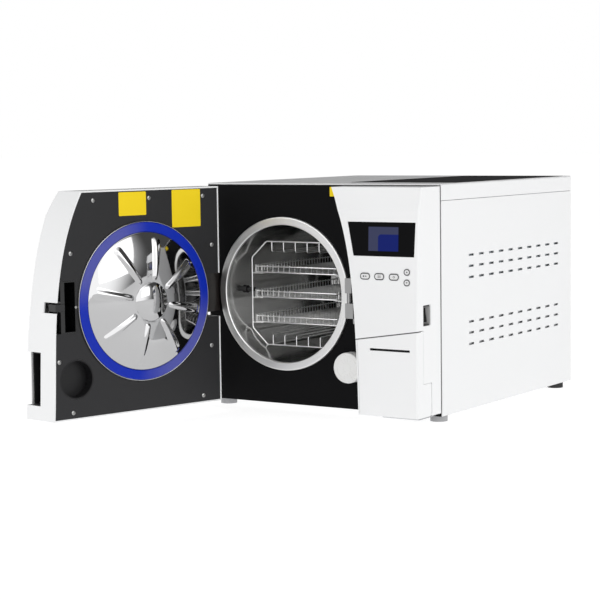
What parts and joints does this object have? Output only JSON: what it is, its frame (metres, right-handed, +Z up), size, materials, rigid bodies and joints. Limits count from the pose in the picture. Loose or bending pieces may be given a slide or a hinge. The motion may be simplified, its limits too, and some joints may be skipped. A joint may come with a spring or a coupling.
{
  "type": "bench steam steriliser",
  "caption": "Bench steam steriliser with a side-hinged round-dish door, chamber with wire rack and mesh trays, lidded water tank and a sloping control panel.",
  "frame": {"origin": "on the bench under the middle of the cabinet's footprint, the open door, panel and rear fittings left out of that middle", "axes": "+X to the right seen from the front, +Y from the front to the back, +Z up"},
  "size_m": [0.5874, 0.9432, 0.4085],
  "materials": {
    "cover_paint": "fine textured white powder coat",
    "plate_paint": "satin black powder coat",
    "door_plate_paint": "satin dark grey paint",
    "bracket_paint": "satin black paint",
    "white_plastic": "satin white moulding",
    "black_plastic": "satin black moulding",
    "gloss_black": "polished black moulding",
    "window": "glossy black display window",
    "lcd": "navy liquid crystal panel",
    "button_plastic": "satin grey-white caps",
    "chamber_steel": "polished stainless, slightly dulled",
    "flange_steel": "satin turned flange",
    "wire_chrome": "bright wire",
    "mirror_steel": "mirror-polished pressed stainless",
    "seal_rubber": "smooth blue silicone",
    "foot_rubber": "black rubber",
    "keeper_steel": "machined steel",
    "screw_steel": "bright zinc",
    "filter_plastic": "white ribbed moulding",
    "zinc_sheet": "galvanised sheet",
    "brass": "turned brass",
    "heater_silicone": "orange heater mat",
    "jacket_felt": "pale insulation felt",
    "board_green": "soldermask green",
    "tank_plastic": "milky plastic",
    "lid_plastic": "satin black lid",
    "pump_alloy": "cast alloy",
    "fin_aluminium": "rolled fins",
    "roll_paper": "matt paper",
    "bolt_plastic": "black hook"
  },
  "bodies": {
    "cabinet": {"base_pan": "zinc_sheet", "feet": "foot_rubber", "side_cover_right": "cover_paint", "side_cover_left": "cover_paint", "top_cover": "cover_paint", "front_plate": "plate_paint", "chamber_vessel": "chamber_steel", "chamber_flange": "flange_steel", "heater_band": "heater_silicone", "insulation_jacket": "jacket_felt", "chamber_cradles": "zinc_sheet", "temperature_probe": "screw_steel", "hinge_bracket": "bracket_paint", "hinge_pin": "screw_steel", "latch_keeper": "keeper_steel", "panel_housing": "white_plastic", "display_window": "window", "lcd_module": "lcd", "control_board": "board_green", "switch_body": "black_plastic", "printer": "black_plastic", "paper_roll": "roll_paper", "panel_bracket": "bracket_paint", "water_tanks": "tank_plastic", "tank_shelf": "zinc_sheet", "steam_generator": "chamber_steel", "vacuum_pump": "pump_alloy", "main_board": "board_green", "condenser": "fin_aluminium", "fan_frame": "black_plastic", "rear_panel": "cover_paint", "safety_valve": "brass", "drain_couplers": "brass", "power_inlet": "black_plastic"},
    "door": {"door_shell": "white_plastic", "door_plate": "door_plate_paint", "door_screws": "screw_steel", "door_beam": "bracket_paint", "pressure_dish": "mirror_steel", "door_seal": "seal_rubber", "dish_hub": "chamber_steel", "filter_cup": "black_plastic", "grip_cup": "black_plastic", "latch_case": "gloss_black"},
    "lock_bolt": {"lock_bolt": "bolt_plastic"},
    "service_flap": {"service_flap": "white_plastic"},
    "clean_tank_lid": {"clean_tank_lid": "lid_plastic"},
    "used_tank_lid": {"used_tank_lid": "lid_plastic"},
    "power_rocker": {"power_rocker": "gloss_black"},
    "button_start": {"button_start": "button_plastic"},
    "button_menu": {"button_menu": "button_plastic"},
    "button_enter": {"button_enter": "button_plastic"},
    "button_up": {"button_up": "button_plastic"},
    "button_down": {"button_down": "button_plastic"},
    "instrument_rack": {"instrument_rack": "wire_chrome"},
    "tray_lower": {"tray_lower": "wire_chrome"},
    "tray_middle": {"tray_middle": "wire_chrome"},
    "tray_upper": {"tray_upper": "wire_chrome"},
    "air_filter": {"air_filter": "filter_plastic"},
    "fan_rotor": {"fan_rotor": "black_plastic"}
  },
  "joints": [
    {"name": "door_hinge", "type": "hinge", "parent": "cabinet", "child": "door", "pos_m": [-0.2275, -0.3193, 0.2103], "axis": [0, 0, 1], "range_deg": [0, 105.7]},
    {"name": "lock_bolt_slide", "type": "slide", "parent": "door", "child": "lock_bolt", "axis": [0.2706, 0.9627, 0], "range_m": [0, 0.017]},
    {"name": "service_flap_hinge", "type": "hinge", "parent": "cabinet", "child": "service_flap", "pos_m": [0.2398, -0.2962, 0.048], "axis": [0, 0, 1], "range_deg": [0, 90]},
    {"name": "clean_tank_lid_hinge", "type": "hinge", "parent": "cabinet", "child": "clean_tank_lid", "pos_m": [0.0273, -0.109, 0.407], "axis": [0, -1, 0], "range_deg": [0, 95]},
    {"name": "used_tank_lid_hinge", "type": "hinge", "parent": "cabinet", "child": "used_tank_lid", "pos_m": [0.0273, 0.108, 0.407], "axis": [0, -1, 0], "range_deg": [0, 95]},
    {"name": "power_rocker_tilt", "type": "hinge", "parent": "cabinet", "child": "power_rocker", "pos_m": [0.233, -0.3135, 0.19], "axis": [0, 1, 0], "range_deg": [0, 14]},
    {"name": "instrument_rack_slide", "type": "slide", "parent": "cabinet", "child": "instrument_rack", "axis": [0, 1, 0], "range_m": [-0.3, 0]},
    {"name": "air_filter_turn", "type": "hinge", "parent": "cabinet", "child": "air_filter", "pos_m": [0.066, -0.27, 0.087], "axis": [0, 1, 0], "range_deg": [0, 90]},
    {"name": "fan_spin", "type": "hinge", "parent": "cabinet", "child": "fan_rotor", "pos_m": [0.16, 0.24, 0.074], "axis": [0, 1, 0], "continuous": true},
    {"name": "tray_lower_slide", "type": "slide", "parent": "instrument_rack", "child": "tray_lower", "axis": [0, 1, 0], "range_m": [-0.26, 0]},
    {"name": "tray_middle_slide", "type": "slide", "parent": "instrument_rack", "child": "tray_middle", "axis": [0, 1, 0], "range_m": [-0.26, 0]},
    {"name": "tray_upper_slide", "type": "slide", "parent": "instrument_rack", "child": "tray_upper", "axis": [0, 1, 0], "range_m": [-0.26, 0]},
    {"name": "button_start_press", "type": "slide", "parent": "cabinet", "child": "button_start", "axis": [0, 0.9993, -0.0374], "range_m": [0, 0.001], "stiffness_N_per_m": 300},
    {"name": "button_menu_press", "type": "slide", "parent": "cabinet", "child": "button_menu", "axis": [0, 0.9993, -0.0374], "range_m": [0, 0.001], "stiffness_N_per_m": 300},
    {"name": "button_enter_press", "type": "slide", "parent": "cabinet", "child": "button_enter", "axis": [0, 0.9993, -0.0374], "range_m": [0, 0.001], "stiffness_N_per_m": 300},
    {"name": "button_up_press", "type": "slide", "parent": "cabinet", "child": "button_up", "axis": [0, 0.9993, -0.0374], "range_m": [0, 0.001], "stiffness_N_per_m": 300},
    {"name": "button_down_press", "type": "slide", "parent": "cabinet", "child": "button_down", "axis": [0, 0.9993, -0.0374], "range_m": [0, 0.001], "stiffness_N_per_m": 300}
  ]
}
